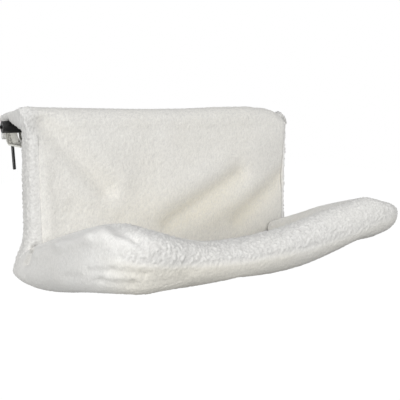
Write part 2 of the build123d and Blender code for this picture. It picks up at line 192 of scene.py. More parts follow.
# Cut away a box between two corners
def cutAway(piece, low, high):
    bm = bmesh.new()
    bmesh.ops.create_cube(bm, size=mm)
    bmesh.ops.scale(bm, vec=[top - foot for foot, top in zip(low, high)], verts=bm.verts)
    bmesh.ops.translate(bm, vec=[(foot + top) / 2 * mm for foot, top in zip(low, high)], verts=bm.verts)
    mesh = bpy.data.meshes.new("room")
    bm.to_mesh(mesh)
    bm.free()
    room = bpy.data.objects.new("room", mesh)
    scene.collection.objects.link(room)
    applied(piece, "BOOLEAN", operation="DIFFERENCE", solver="EXACT", object=room)
    bpy.data.objects.remove(room)
    return piece


# How near each point is to the run from a to b, in two directions, from 1 on the run down to 0
def crease(first, second, a, b, width):
    run = (b[0] - a[0], b[1] - a[1])
    length = run[0] ** 2 + run[1] ** 2
    t = np.clip(((first - a[0]) * run[0] + (second - a[1]) * run[1]) / length, 0, 1)
    gap = (first - a[0] - t * run[0]) ** 2 + (second - a[1] - t * run[1]) ** 2
    return np.exp(-gap / (2 * width ** 2))


# Where the camera sees each point, drawn on the plane of the seat's front, and how far each faces it
def seenFrom(points, normals=None):
    eye = np.array(view["place"]) / mm
    run = points - eye
    share = (view["plane"] - eye[1]) / run[:, 1]
    across, up = eye[0] + run[:, 0] * share, eye[2] + run[:, 2] * share
    if normals is None:
        return across, up
    facing = -(normals * run).sum(axis=1) / np.linalg.norm(run, axis=1)
    return across, up, ramp(0.0, 0.14, facing)


# Round a closed outline in the YZ plane and draw it out along X
def drawnOut(bm, outline, rounds, left, right):
    corners = [bm.verts.new((left, y, z)) for y, z in outline]
    bm.faces.new(corners)
    for corner, radius in zip(corners, rounds):
        if radius:
            bmesh.ops.bevel(bm, geom=[corner], offset=radius, segments=6, profile=0.5,
                            affect="VERTICES", material=-1)
    flat = [f for f in bm.faces if all(abs(vert.co.x - left) < 0.01 for vert in f.verts)]
    made = bmesh.ops.extrude_face_region(bm, geom=flat, use_keep_orig=True)
    moved = [part for part in made["geom"] if isinstance(part, bmesh.types.BMVert)]
    bmesh.ops.translate(bm, vec=(right - left, 0, 0), verts=moved)
    return bm


# Back cover and hood: one plush cloth from the seat, up over the rail and down at the rear
backCover = {
    "front": -80, "inside": -63, "foot": -176, "split": 14,
    "halfPanel": 219.2, "left": -237, "right": 227.5,
    "rear": 52, "rearFoot": 8, "wall": 7,
    "railTop": 37.4, "railY": 10, "slope": 0.155,
    "rounds": (0, 28, 14, 2, 2, 6, 12, 0),
    "voxel": 2.0, "smoothing": 3, "panelLap": 6,
    "crown": 3.5, "crownMiddle": -80, "crownHalf": 110, "face": (-71, -78),
    "rim": (205, 228), "rimSwell": 3.2, "mouthRim": (-226, -233),
    "tuck": (14, 48), "tuckLeft": 4, "tuckRight": 5.5,
    "mouthDrop": ((-73, 0), (-65, 20), (-51, 21), (-18, 9.5), (0, 1.5), (6, 0)),
    "crest": ((-237, 1.5), (-225, 3), (-190, 2.5), (-120, 1.2), (-60, 0.2), (20, 0.6), (90, 3.4),
              (150, 4.2), (188, 1.5), (205, -2.5), (216, -7.5), (225, -14)),
    "folds": (
        ((-208, 36), (-118, -62), 12, -8.5),
        ((-172, 34), (-92, -50), 13, 2.6),
        ((-212, -20), (-206, -120), 8, 2.6),
        ((-170, -88), (-100, -112), 12, -3.0),
        ((-15, -128), (121, -56), 12, -6.0),
        ((-36, -98), (86, -34), 15, 2.6),
        ((55, -128), (150, -78), 13, 3.0),
        ((122, -134), (220, -62), 13, -5.0),
        ((120, -20), (205, 8), 18, 2.0),
        ((20, 4), (120, -20), 20, -2.4),
        ((-40, 12), (-70, -80), 24, -1.8),
    ),
}
# Slits for the hooks' legs; in the lining their lips lie past each other
hookSlit = {"x": 213.8, "half": 3.1, "front": 34, "top": 33.5, "liningFront": 23.5,
            "lipWidth": 6, "lipLead": 9, "lipOut": 4, "lipIn": 7.5}


def hoodInside(y):
    return backCover["railTop"] - backCover["slope"] * (y - backCover["railY"])


def makeBackCover():
    plan = backCover
    bm = bmesh.new()
    inner = plan["rear"] - plan["wall"]
    outline = (
        (plan["front"], plan["split"]),
        (plan["front"], hoodInside(plan["front"]) + plan["wall"]),
        (plan["rear"], hoodInside(plan["rear"]) + plan["wall"]),
        (plan["rear"], plan["rearFoot"]),
        (inner, plan["rearFoot"]),
        (inner, hoodInside(inner)),
        (plan["inside"], hoodInside(plan["inside"])),
        (plan["inside"], plan["split"]),
    )
    drawnOut(bm, outline, plan["rounds"], plan["left"], plan["right"])
    panel = (
        (plan["front"], plan["foot"]), (plan["front"], plan["split"] + plan["panelLap"]),
        (plan["inside"], plan["split"] + plan["panelLap"]), (plan["inside"], plan["foot"]),
    )
    drawnOut(bm, panel, (0, 0, 0, 0), -plan["halfPanel"], plan["halfPanel"])
    piece = pieceFrom(bm, "plushBackAndHood", ("hood", "back_front_layer"))
    remeshed(piece, plan["voxel"], plan["smoothing"])

    def shape(points, normals):
        x, y, z = points.T
        onFace = ramp(*plan["face"], y)
        facing = onFace * ramp(30, 10, z)
        crown = plan["crown"] * (1 - (np.abs(x) / plan["halfPanel"]) ** 4)
        crown *= 1 - ((z - plan["crownMiddle"]) / plan["crownHalf"]) ** 4
        relief = np.clip(crown, -1, 9) * facing
        for a, b, width, height in plan["folds"]:
            relief = relief + height * crease(x, z, a, b, width) * onFace * ramp(52, 30, z)
        rise = np.interp(x, *zip(*plan["crest"]))
        top = ramp(20, 45, z) * ramp(-0.2, 0.5, normals[:, 2])
        sag = 1.6 * np.sin(x / 37 + y / 60) * ramp(-60, 30, y)
        under = hoodInside(y)
        rim = ramp(*plan["rim"], -x) * ramp(1, 4, z - under)
        share = np.where(z > under, (under + plan["wall"] - z) / plan["wall"],
                         (z - plan["split"]) / (under - plan["split"]))
        corner = np.interp(y, *zip(*plan["mouthDrop"])) * np.clip(share, 0, 1) * ramp(*plan["mouthRim"], x)
        edge = np.where(x < 0, -plan["left"], plan["right"])
        tuck = ramp(plan["tuck"][0], 0, edge - np.abs(x)) * ramp(plan["tuck"][1], plan["split"], z)
        tuck *= ramp(-55, -65, y)
        points = points.copy()
        points[:, 1] -= relief
        points[:, 2] += top * (rise + sag) - corner
        points += normals * (rim * (0.2 + 0.8 * ramp(-40, 25, y)) * plan["rimSwell"])[:, None]
        points[:, 0] -= np.sign(x) * tuck * np.where(x < 0, plan["tuckLeft"], plan["tuckRight"])
        for side in (-1, 1):
            slit = (np.abs(x - side * hookSlit["x"]) < hookSlit["half"]) & (y > hookSlit["front"])
            points[slit, 2] = np.maximum(points[slit, 2], hookSlit["top"])
        return points

    return sculpted(piece, shape)


shortCurls = {"size": 3.8, "height": 1.1, "lean": 0.7, "middle": 0.75, "crease": 3.2, "strand": 0.35}
longCurls = {"size": 4.1, "height": 1.6, "lean": 0.8, "middle": 0.7, "crease": 2.4, "strand": 0.6}


def backStrength(points):
    x, y, z = points.T
    mouth = ramp(215, 232, np.abs(x)) * ramp(10, 25, z)
    outside = np.maximum(ramp(-66, -70, y), ramp(1, 4, z - hoodInside(y)))
    tufts = 0.7 * ramp(212, 226, x) * ramp(14, 30, z)
    return np.maximum(outside, mouth) * (0.6 + 0.9 * mouth + 0.2 * ramp(25, 45, z) + tufts)


# Painted shade as a warm tint on the back cover: low is the shade near the seat, the valleys are the shade in
# the folds, and less is painted at the hood's ends
def backShadeTint(points):
    x, y, z = points.T
    low = np.exp(-((z + 112) / 38) ** 2 - ((x - 60) / 150) ** 2)
    valleyShade = sum(crease(x, z, a, b, width) * min(0, height) / -6
                  for a, b, width, height in backCover["folds"])
    valleyShade *= (0.15 + 0.85 * ramp(0, -60, z)) * (0.3 + 0.7 * ramp(-120, 0, x))
    return 0.3 + 0.45 * low + 0.5 * valleyShade - 0.25 * ramp(205, 232, np.abs(x)) * ramp(-20, 20, z)


cover = makeBackCover()
growCurls(cover, shortCurls, backStrength, backShadeTint)
print("back cover and hood:", len(cover.data.polygons), "faces")

# Side strips: the cover's gussets, with a tongue that closes the hood's end
sideStrip = {"inside": 217.6, "front": -80.5, "rear": -41, "foot": -184, "top": 19,
             "tongueFront": -62, "tongueTop": 40, "tongueInside": 219.2, "voxel": 1.8,
             "footFold": ((-307, -75), (-315, -89), 2.0, -9),
             -1: {"outside": 226.5, "swell": ((-184, 20), (-178, 25), (-168, 27), (-154, 23), (-138, 15),
                                              (-120, 10.5), (-60, 9.5), (0, 7), (20, 6.5))},
             1: {"outside": 222.5, "swell": ((-184, 8), (-166, 12), (-145, 6), (-120, 1), (20, 1))}}


def stripStrength(points):
    x, y, z = points.T
    outside = (0.35 + 0.45 * ramp(-150, -120, z)) * ramp(217, 222, np.abs(x))
    return outside + ramp(220, 223, x) + 0.6 * ramp(224, 229, -x)


def makeSideStrip(side, name, replaced):
    plan = sideStrip
    bm = bmesh.new()
    outline = ((plan["front"], plan["foot"]), (plan["front"], plan["top"]),
               (plan["tongueFront"], plan["top"]), (plan["tongueFront"], plan["tongueTop"]),
               (plan["rear"], plan["tongueTop"] + 2), (plan["rear"], plan["foot"]))
    drawnOut(bm, outline, (4, 0, 0, 6, 0, 4), plan["inside"], plan[side]["outside"])
    if side < 0:
        bmesh.ops.scale(bm, vec=(-1, 1, 1), verts=bm.verts)
    piece = pieceFrom(bm, name, (replaced,))
    remeshed(piece, plan["voxel"], 2)

    def shape(points, normals):
        points = points.copy()
        middle = (plan["front"] + plan["rear"]) / 2
        bulge = 1 - ((points[:, 1] - middle) / (middle - plan["front"])) ** 2
        outer = ramp(plan["inside"] + 2, plan[side]["outside"], np.abs(points[:, 0]))
        swell = np.interp(points[:, 2], *zip(*plan[side]["swell"]))
        points[:, 0] += side * outer * swell * np.sqrt(np.clip(bulge + 0.15, 0, 1))
        tongue = points[:, 2] > plan["top"] - 3
        points[tongue, 0] = side * np.maximum(np.abs(points[tongue, 0]), plan["tongueInside"])
        across, up, facing = seenFrom(points, normals)
        fold = plan["footFold"]
        points += normals * (fold[3] * facing * crease(across, up, *fold[:3]))[:, None]
        return points

    sculpted(piece, shape)
    growCurls(piece, longCurls, stripStrength, evenly(0.1))
    return piece


stripLeft = makeSideStrip(-1, "sideStripLeft", "side_strip_left")
stripRight = makeSideStrip(1, "sideStripRight", "side_strip_right")
print("side strips made")

# Seat edge: stations along the seat tube, each x, y, z, outward angle, reach, inner, top, droop and ridge
seatEdge = {
    "stations": (
        (-203, -44, -163, 178, 46, 20, 20, 28, 1),
        (-203, -72, -154, 178, 46, 22, 20, 42, 1),
        (-203, -104, -144, 179, 43, 22, 20, 51.5, 1),
        (-204, -142, -131, 180, 38.5, 23, 18, 57.5, 1),
        (-205, -182, -120, 180, 35, 23, 18, 59, 1),
        (-206, -222, -109, 181, 34, 23, 18, 60, 1),
        (-206, -260, -98, 184, 33, 23, 18, 61, 0.9),
        (-203, -288, -90, 200, 33, 23, 18, 62.5, 0.7),
        (-195, -308, -87, 222, 33, 22, 18, 62, 0.5),
        (-181, -321, -90, 245, 31, 21, 18, 58.5, 0.3),
        (-160, -325.7, -97, 262, 27, 21, 18, 50.5, 0.1),
        (-132, -325.7, -106, 269, 25, 21, 17, 43, 0),
        (-100, -325.7, -113, 270, 25, 21, 18, 36.5, 0),
        (-60, -325.7, -118, 270, 24.5, 21, 22, 31.5, 0),
        (-6, -325.7, -118.5, 270, 24, 21, 26.5, 32, 0),
        (43, -325.7, -115.5, 270, 23.5, 21, 31, 31.5, 0),
        (95, -325.7, -108, 271, 23.5, 21, 33.5, 29, 0),
        (132, -325.7, -100, 274, 24, 21, 30.5, 27.5, 0),
        (162, -324, -94, 284, 27, 21, 28, 31.5, 0),
        (184, -315, -93, 305, 36, 22, 19.5, 31, 0),
        (199, -297, -95, 330, 39, 23, 17, 35, 0),
        (206, -265, -102, 352, 34, 23, 21, 39, 0),
        (206, -225, -113, 359, 33, 23, 21, 42, 0),
        (205, -185, -124.5, 360, 35, 23, 20, 42, 0),
        (204, -145, -136, 360, 38, 23, 15, 39, 0),
        (203, -104, -148, 361, 40, 22, 14, 35, 0),
        (203, -72, -157, 362, 40, 22, 12, 30, 0),
        (203, -44, -165, 362, 36, 20, 12, 22, 0),
    ),
    "rings": 150, "around": 44, "square": 0.8,
    "outerTaper": 0.25, "innerTaper": 0.45, "ridgePower": 0.35, "wallPower": 0.18, "flare": 0.18,
    "simVoxel": 4.5, "pressure": 3.0, "cap": 4, "voxel": 1.7,
    "coverHalf": 229.4, "coverFront": -84.3, "rear": -44,
}


def edgePoint(u, v):
    x, y, z, angle, reach, inner, top, droop, ridge = curveThrough(seatEdge["stations"], u)
    c, s = cos(2 * pi * v), sin(2 * pi * v)
    power = seatEdge["square"]
    if c > 0:
        power += ridge * (seatEdge["ridgePower"] if s > 0 else -seatEdge["wallPower"])
    across = abs(c) ** power * (reach if c > 0 else -inner)
    rise = abs(s) ** power * (top if s > 0 else -droop)
    if s < 0 < c:
        across *= 1 + ridge * seatEdge["flare"] * abs(s) * (1 - abs(s)) * 4
    if s < 0:
        taper = seatEdge["innerTaper"] if c < 0 else seatEdge["outerTaper"] * (1 - ridge)
        across *= 1 - taper * abs(s) ** 1.5
    turn = radians(angle)
    return x + cos(turn) * across, y + sin(turn) * across, z + rise


def makeSeatEdge():
    plan = seatEdge
    bm = bmesh.new()
    bmesh.ops.create_grid(bm, x_segments=plan["rings"], y_segments=plan["around"], size=0.5)
    for vert in bm.verts:
        vert.co = edgePoint(vert.co.x + 0.5, vert.co.y + 0.5)
    piece = pieceFrom(bm, "seatEdge",
                      ("seat_arm_sleeve_left", "seat_arm_sleeve_right", "seat_front_sleeve"))
    remeshed(piece, plan["simVoxel"], 1)
    puffed(piece, lambda points: ramp(-100, -88, points[:, 1]), plan["pressure"], plan["cap"])
    half = plan["coverHalf"]
    cutAway(piece, (-half, plan["coverFront"], -half), (half, half, half))
    cutAway(piece, (-2 * half, plan["rear"], -half), (2 * half, half, half))
    remeshed(piece, plan["voxel"], 4)
    return sculpted(piece, shapeSeatEdge)


# Folds as the camera sees them on the plane of the seat's front: from, to, width and height
footCrease = ((-308, -76), (-315, -89), 1.2, -6.5)
edgeFolds = {
    "lobe": (
        ((-304, -80), (-281, -75), 4, 3.6),
        ((-281, -75), (-250, -71), 4, 4.0),
        ((-250, -71), (-236, -68), 5, 3.0),
        ((-296, -70), (-250, -61), 6, -3.4),
        ((-300, -92), (-240, -86), 9, -1.2),
        ((-233, -55), (-219, -66), 4.5, -3.5),
        ((-219, -66), (-200, -78), 4, -3.8),
        ((-200, -78), (-190, -86), 4, -2.4),
        ((-200, -80), (-222, -97), 4, -1.8),
        ((-236, -70), (-222, -92), 9, 2.0),
        ((-277, -107), (-241, -117), 3, -1.8),
        ((-241, -117), (-205, -127), 3, -1.8),
        ((-254, -106), (-228, -109), 3, -1.9),
        ((-228, -109), (-190, -119), 3.5, -1.7),
        ((-262, -112), (-222, -119), 3, 0.9),
        ((-205, -127), (-140, -131), 4, -1.5),
        ((-190, -119), (-120, -124), 4, -1.3),
        footCrease,
    ),
    "seam": ((-224, -98), (-201, -104), (-160, -111), (-121, -115), (-52, -119), (26, -117),
             (113, -108), (160, -97), (200, -92), (232, -96)),
    "seamWidth": 3, "seamDepth": 0.9,
    "curlStart": ((-130, -215), (-100, -222), (-92, -218), (-84, -196), (-66, -216), (-57, -234),
                  (-40, -240)),
}


def seamHeight(x):
    return np.interp(x, *zip(*edgeFolds["seam"]))


def shapeSeatEdge(points, normals):
    x, y, z = points.T
    across, up, facing = seenFrom(points, normals)
    relief = sum(height * crease(across, up, a, b, width)
                 for a, b, width, height in edgeFolds["lobe"])
    relief *= facing * ramp(-90, -150, x)
    frontOnly = ramp(-0.35, -0.8, normals[:, 1]) * ramp(-300, -310, y) * ramp(-222, -205, x)
    frontOnly *= 1 - 0.9 * ramp(0, 110, x)
    seam = np.exp(-((z - seamHeight(x)) / edgeFolds["seamWidth"]) ** 2)
    relief -= frontOnly * edgeFolds["seamDepth"] * seam
    return points + normals * relief[:, None]


def edgeStrength(points):
    x, y, z = points.T
    across, up = seenFrom(points)
    start = np.interp(up, *zip(*edgeFolds["curlStart"]))
    frontRoll = ramp(-6, 7, across - start) * ramp(-250, -300, y)
    above = ramp(-6, 5, z - seamHeight(x))
    faded = ramp(20, 150, x)
    curly = frontRoll * (0.35 + (0.65 - 0.25 * faded) * above + 0.1 * faded)
    return curly + 0.3 * (1 - frontRoll)


def edgeShadeTint(points):
    x, y, z = points.T
    # Painted shade as a warm tint: below the seam on the front, fading to the right, and in the crease at the
    # lobe's foot
    below = ramp(4, -8, z - seamHeight(x)) * ramp(-235, -195, x) * ramp(-290, -318, y)
    across, up = seenFrom(points)
    return 0.12 + (0.6 - 0.35 * ramp(-120, 120, x)) * below + 0.4 * crease(across, up, *footCrease[:3])


# Painted shade: darken the pile in the crease at the lobe's foot
def shadeFoot(piece):
    points = readPoints(piece) / mm
    kept = piece.data.attributes["pile"].data
    pile = np.zeros(len(points), np.float32)
    kept.foreach_get("value", pile)
    across, up = seenFrom(points)
    shade = crease(across, up, *footCrease[:2], 1.3) * ramp(-225, -240, points[:, 0])
    kept.foreach_set("value", (pile * (1 - 0.9 * shade)).astype(np.float32))


edge = makeSeatEdge()
growCurls(edge, longCurls, edgeStrength, edgeShadeTint)
shadeFoot(edge)
print("seat edge:", len(edge.data.polygons), "faces")

# Sling: the bed of the seat, sagging between the arms
sling = {
    "half": 196, "rear": -84.5, "front": -322, "across": 130, "along": 80,
    "armFoot": (-54.7, -161), "armRise": 76 / 271,
    "sag": ((-84, 19), (-150, 36), (-205, 45), (-270, 47), (-325, 45)),
    "edgeDrop": 6, "thick": 8, "ripple": 1.5,
}


def armHeight(y):
    return sling["armFoot"][1] + (sling["armFoot"][0] - y) * sling["armRise"]


def slingHeight(x, y):
    depth = np.interp(-y, [-row[0] for row in sling["sag"]], [row[1] for row in sling["sag"]])
    across = 1 - min(1, abs(x) / sling["half"]) ** 2
    return armHeight(y) - sling["edgeDrop"] - (depth - sling["edgeDrop"]) * across


def makeSling():
    plan = sling
    bm = bmesh.new()
    bmesh.ops.create_grid(bm, x_segments=plan["across"] * 2, y_segments=plan["along"] * 2, size=0.5)
    for vert in bm.verts:
        x = vert.co.x * 2 * plan["half"]
        y = plan["rear"] + (vert.co.y + 0.5) * (plan["front"] - plan["rear"])
        wave = plan["ripple"] * noise.noise((x / 60, y / 45, 3.1))
        vert.co = (x, y, slingHeight(x, y) + wave)
    thick = plan["thick"]
    bmesh.ops.recalc_face_normals(bm, faces=bm.faces)
    bmesh.ops.solidify(bm, geom=bm.faces[:], thickness=thick)
    piece = pieceFrom(bm, "seatSling", ("seat_sling",))
    if readPoints(piece)[:, 2].max() > (slingHeight(plan["half"], plan["front"]) + thick / 2) * mm:
        sculpted(piece, lambda points, normals: points - np.array((0, 0, thick)))
    # The sling's even warm tint is painted shade inside the seat
    growCurls(piece, longCurls, evenly(0.7), evenly(0.6))
    return piece


bed = makeSling()
print("sling:", len(bed.data.polygons), "faces")

# Underside: a sheet below the sling, from the back cover's foot to the front roll
underside = {
    "half": 207, "rear": -47, "front": -322, "across": 140, "along": 100, "thick": 3,
    "middle": ((-47, -179), (-84, -185), (-150, -184), (-205, -179), (-260, -168)),
    "edge": ((-47, -178), (-84, -184), (-150, -174), (-205, -160), (-260, -146)),
    "lip": ((-222, -134), (-174, -139), (-109, -143), (-36, -140), (28, -136), (97, -127), (174, -111),
            (211, -106)),
    "lipRun": (-235, -318), "pleat": 1.6,
}


def undersideHeight(x, y):
    reach = [-row[0] for row in underside["middle"]]
    middle = np.interp(-y, reach, [row[1] for row in underside["middle"]])
    side = np.interp(-y, reach, [row[1] for row in underside["edge"]])
    bow = (side - middle) * min(1, abs(x) / underside["half"]) ** 2.5
    lip = np.interp(x, *zip(*underside["lip"]))
    return middle + bow + (lip - middle - bow) * ramp(*underside["lipRun"], y)


def makeUnderside():
    plan = underside
    bm = bmesh.new()
    bmesh.ops.create_grid(bm, x_segments=plan["across"], y_segments=plan["along"], size=0.5)
    for vert in bm.verts:
        x = vert.co.x * 2 * plan["half"]
        y = plan["rear"] + (vert.co.y + 0.5) * (plan["front"] - plan["rear"])
        pleat = plan["pleat"] * noise.noise((x / 70, y / 24, 7.7))
        vert.co = (x, y, undersideHeight(x, y) + pleat)
    bmesh.ops.recalc_face_normals(bm, faces=bm.faces)
    bmesh.ops.solidify(bm, geom=bm.faces[:], thickness=plan["thick"])
    piece = pieceFrom(bm, "seatUnderside", ("seat_underside",))
    # The underside's strong even warm tint is painted shade under the seat
    growCurls(piece, shortCurls, evenly(0.3), evenly(0.9))
    return piece


belly = makeUnderside()
print("underside:", len(belly.data.polygons), "faces")

# Lining of the hood: flat on the radiator, rounded up at the rear
hoodLining = {"half": 233, "front": -39.7, "rear": 40.6, "thick": 2.2, "turnUp": 23, "round": 20,
              "cutRoom": 5, "rowsAcross": range(-225, 230, 6), "rowsAlong": range(-34, 40, 6)}


def makeLining():
    plan = hoodLining
    bm = bmesh.new()
    outline = ((plan["front"], 0), (plan["rear"], 0), (plan["rear"], plan["turnUp"]),
               (plan["rear"] - plan["thick"], plan["turnUp"]), (plan["rear"] - plan["thick"], plan["thick"]),
               (plan["front"], plan["thick"]))
    drawnOut(bm, outline, (0, plan["round"], 0, 0, plan["round"] - plan["thick"], 0),
             -plan["half"], plan["half"])
    for rows, axis in ((plan["rowsAcross"], Vector((1, 0, 0))), (plan["rowsAlong"], Vector((0, 1, 0)))):
        for cut in rows:
            bmesh.ops.bisect_plane(bm, geom=bm.verts[:] + bm.edges[:] + bm.faces[:],
                                   plane_co=axis * cut, plane_no=axis)
    piece = pieceFrom(bm, "hoodLining", ("hood_lining",))
    room = plan["cutRoom"]
    front = hookSlit["liningFront"]
    for side in (-1, 1):
        left, right = (side * hookSlit["x"] + reach for reach in (-hookSlit["half"], hookSlit["half"]))
        cutAway(piece, (left, front, -room), (right, plan["rear"] + room, plan["turnUp"] + room))

    def lips(points, normals):
        x, y, z = points.T
        away = np.abs(x) - hookSlit["x"]
        lip = ramp(hookSlit["half"] + hookSlit["lipWidth"], hookSlit["half"], np.abs(away))
        lip *= ramp(front - hookSlit["lipLead"], front, y)
        lip *= np.where(away < 0, hookSlit["lipOut"], -hookSlit["lipIn"])
        outY = np.maximum(y - plan["rear"] + plan["round"], 0)
        outZ = np.minimum(z - plan["round"], -0.01)
        length = np.hypot(outY, outZ)
        return points + np.stack((0 * x, lip * outY / length, lip * outZ / length), axis=1)

    return sculpted(piece, lips)


liningPiece = makeLining()
print("lining made")

# Rear layer of the back cover
rearLayer = {"half": 218.5, "rear": -40.2, "front": -46.2, "foot": -183.8, "top": -0.5}


def makeRearLayer():
    plan = rearLayer
    bm = bmesh.new()
    outline = ((plan["front"], plan["foot"]), (plan["front"], plan["top"]),
               (plan["rear"], plan["top"]), (plan["rear"], plan["foot"]))
    drawnOut(bm, outline, (1.5, 1, 1, 1.5), -plan["half"], plan["half"])
    return pieceFrom(bm, "rearLining", ("back_rear_layer",))


rearPiece = makeRearLayer()

# Hook-and-loop tapes between the hood's rear edge and the lining
tape = {"half": 195, "low": 9, "high": 23, "thick": 1.1, "hookY": 40.75, "loopY": 41.88}


def makeTape(name, replaced, y):
    bm = bmesh.new()
    outline = ((y, tape["low"]), (y, tape["high"]), (y + tape["thick"], tape["high"]),
               (y + tape["thick"], tape["low"]))
    drawnOut(bm, outline, (0.2, 0.2, 0.2, 0.2), -tape["half"], tape["half"])
    return pieceFrom(bm, name, (replaced,))


hookTape = makeTape("hookTape", "closure_hook_strip", tape["hookY"])
loopTape = makeTape("loopTape", "closure_loop_strip", tape["loopY"])
print("tapes made")


# Node helpers
def newGroup(name, inputs, outputs):
    group = bpy.data.node_groups.new(name, "ShaderNodeTree")
    for label, kind, value in inputs:
        socket = group.interface.new_socket(label, in_out="INPUT", socket_type=kind)
        socket.default_value = value
    for label, kind in outputs:
        group.interface.new_socket(label, in_out="OUTPUT", socket_type=kind)
    return group, group.nodes.new("NodeGroupInput"), group.nodes.new("NodeGroupOutput")


def node(tree, kind, values=None, **settings):
    made = tree.nodes.new(kind)
    for key, value in settings.items():
        setattr(made, key, value)
    for key, value in (values or {}).items():
        made.inputs[key].default_value = value
    return made


def mixColours(tree, factor, first, second, blend="MIX"):
    mix = node(tree, "ShaderNodeMix", data_type="RGBA", blend_type=blend)
    for socket, source in ((0, factor), (6, first), (7, second)):
        if isinstance(source, (int, float, tuple)):
            mix.inputs[socket].default_value = source
        else:
            tree.links.new(source, mix.inputs[socket])
    return mix.outputs[2]


def math(tree, operation, first, second=0.0, third=0.0):
    made = node(tree, "ShaderNodeMath", operation=operation)
    for index, source in enumerate((first, second, third)):
        if isinstance(source, (int, float)):
            made.inputs[index].default_value = source
        else:
            tree.links.new(source, made.inputs[index])
    return made.outputs[0]


# Pile: painted shade makes creases darker than tips, with fine fibres, broad soft tints, and a warm tint
# painted for shade
def pileGroup():
    group, source, target = newGroup(
        "pileFinish",
        (("Tip", "NodeSocketColor", (0.8, 0.8, 0.8, 1)), ("Crease shade", "NodeSocketColor", (0.5, 0.5, 0.5, 1)),
         ("Fibre scale", "NodeSocketFloat", 900.0), ("Tint", "NodeSocketColor", (0.8, 0.78, 0.7, 1)),
         ("Tint share", "NodeSocketFloat", 0.3)),
        (("Colour", "NodeSocketColor"), ("Height", "NodeSocketFloat")),
    )
    place = group.nodes.new("ShaderNodeTexCoord").outputs["Object"]
    pile = node(group, "ShaderNodeAttribute", attribute_name="pile").outputs["Fac"]
    warmShade = node(group, "ShaderNodeAttribute", attribute_name="warmShade").outputs["Fac"]
    # Painted shade: low pile values in the creases pull the colour to the darker crease colour
    depth = node(group, "ShaderNodeMapRange", {"From Min": -0.1, "From Max": 0.75})
    group.links.new(pile, depth.inputs["Value"])
    fibre = node(group, "ShaderNodeTexNoise", {"Detail": 3.0, "Roughness": 0.6, "Distortion": 1.2})
    broad = node(group, "ShaderNodeTexNoise", {"Scale": 11.0, "Detail": 2.0})
    lie = node(group, "ShaderNodeMapping", {"Rotation": (0.0, 0.3, 0.0), "Scale": (1.3, 1.3, 0.42)})
    group.links.new(place, lie.inputs["Vector"])
    group.links.new(lie.outputs["Vector"], fibre.inputs["Vector"])
    group.links.new(place, broad.inputs["Vector"])
    group.links.new(source.outputs["Fibre scale"], fibre.inputs["Scale"])
    patches = math(group, "MULTIPLY_ADD", broad.outputs["Fac"], source.outputs["Tint share"], -0.1)
    # The warm attribute adds painted shade to the tint; the broad patches are random tone
    tint = math(group, "ADD", patches, warmShade)
    tip = mixColours(group, tint, source.outputs["Tip"], source.outputs["Tint"])
    colour = mixColours(group, depth.outputs["Result"], source.outputs["Crease shade"], tip)
    shade = node(group, "ShaderNodeMapRange",
                 {"From Min": 0.3, "From Max": 0.7, "To Min": 0.86, "To Max": 1.05})
    group.links.new(fibre.outputs["Fac"], shade.inputs["Value"])
    hair = node(group, "ShaderNodeCombineColor")
    for channel in range(3):
        group.links.new(shade.outputs["Result"], hair.inputs[channel])
    streaked = mixColours(group, 1.0, colour, hair.outputs["Color"], "MULTIPLY")
    group.links.new(streaked, target.inputs["Colour"])
    group.links.new(fibre.outputs["Fac"], target.inputs["Height"])
    return group


# Weave: two crossed threads
def weaveGroup():
    group, source, target = newGroup(
        "weaveFinish",
        (("Thread", "NodeSocketColor", (0.7, 0.7, 0.65, 1)), ("Gap", "NodeSocketColor", (0.4, 0.4, 0.35, 1)),
         ("Scale", "NodeSocketFloat", 900.0)),
        (("Colour", "NodeSocketColor"), ("Height", "NodeSocketFloat")),
    )
    place = group.nodes.new("ShaderNodeTexCoord").outputs["Object"]
    heights = []
    for direction in ("X", "Z"):
        wave = node(group, "ShaderNodeTexWave", {"Distortion": 0.6, "Detail": 1.0}, bands_direction=direction)
        group.links.new(place, wave.inputs["Vector"])
        group.links.new(source.outputs["Scale"], wave.inputs["Scale"])
        heights.append(wave.outputs["Fac"])
    height = math(group, "MAXIMUM", *heights)
    group.links.new(mixColours(group, height, source.outputs["Gap"], source.outputs["Thread"]),
                    target.inputs["Colour"])
    group.links.new(height, target.inputs["Height"])
    return group


# Coat: a fine orange-peel skin with small bright rubs
def coatGroup():
    group, source, target = newGroup(
        "coatFinish",
        (("Base", "NodeSocketColor", (0.02, 0.02, 0.02, 1)), ("Rub", "NodeSocketColor", (0.1, 0.1, 0.1, 1)),
         ("Grain", "NodeSocketFloat", 900.0), ("Rough", "NodeSocketFloat", 0.45)),
        (("Colour", "NodeSocketColor"), ("Roughness", "NodeSocketFloat"), ("Height", "NodeSocketFloat")),
    )
    place = group.nodes.new("ShaderNodeTexCoord").outputs["Object"]
    grain = node(group, "ShaderNodeTexNoise", {"Detail": 3.0})
    patch = node(group, "ShaderNodeTexNoise", {"Scale": 60.0, "Detail": 5.0, "Roughness": 0.7})
    for texture in (grain, patch):
        group.links.new(place, texture.inputs["Vector"])
    group.links.new(source.outputs["Grain"], grain.inputs["Scale"])
    mask = node(group, "ShaderNodeMapRange", {"From Min": 0.62, "From Max": 0.72})
    group.links.new(patch.outputs["Fac"], mask.inputs["Value"])
    group.links.new(mixColours(group, mask.outputs["Result"], source.outputs["Base"], source.outputs["Rub"]),
                    target.inputs["Colour"])
    spread = math(group, "MULTIPLY_ADD", patch.outputs["Fac"], 0.25, -0.12)
    group.links.new(math(group, "ADD", spread, source.outputs["Rough"]), target.inputs["Roughness"])
    group.links.new(grain.outputs["Fac"], target.inputs["Height"])
    return group


